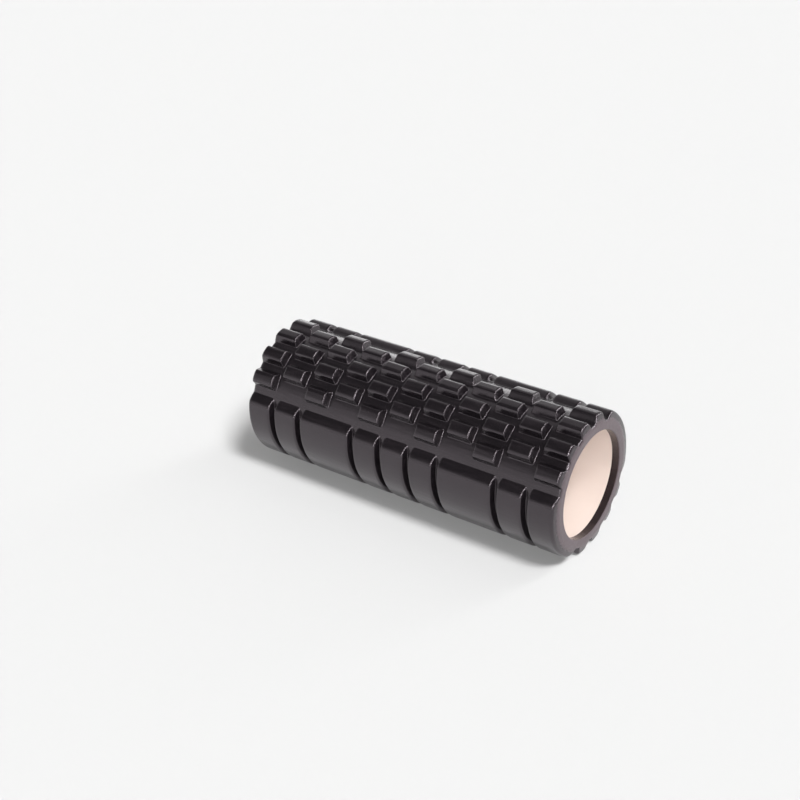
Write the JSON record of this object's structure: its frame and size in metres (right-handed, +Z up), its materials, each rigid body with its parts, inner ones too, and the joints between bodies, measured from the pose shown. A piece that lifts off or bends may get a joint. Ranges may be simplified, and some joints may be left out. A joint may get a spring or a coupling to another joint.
{
  "type": "foam roller",
  "caption": "Cylindrical massage roller: a moulded foam sleeve with rows of raised bricks and bars, bonded to a hollow plastic core tube.",
  "frame": {"origin": "on the roller's axis, at the middle of its length, which is the centre of the bore", "axes": "+Y along the roller's axis towards one end face, +Z up through the middle of the second row of bricks, with the opposite row flat on the floor below"},
  "size_m": [0.1326, 0.33, 0.1326],
  "materials": {
    "eva_foam": "moulded closed-cell foam, satin skin",
    "adhesive": "cured contact adhesive",
    "core_plastic": "extruded, satin"
  },
  "bodies": {
    "root": {"foam_sleeve": "eva_foam", "bond_layer": "adhesive", "core_tube": "core_plastic"}
  },
  "joints": []
}
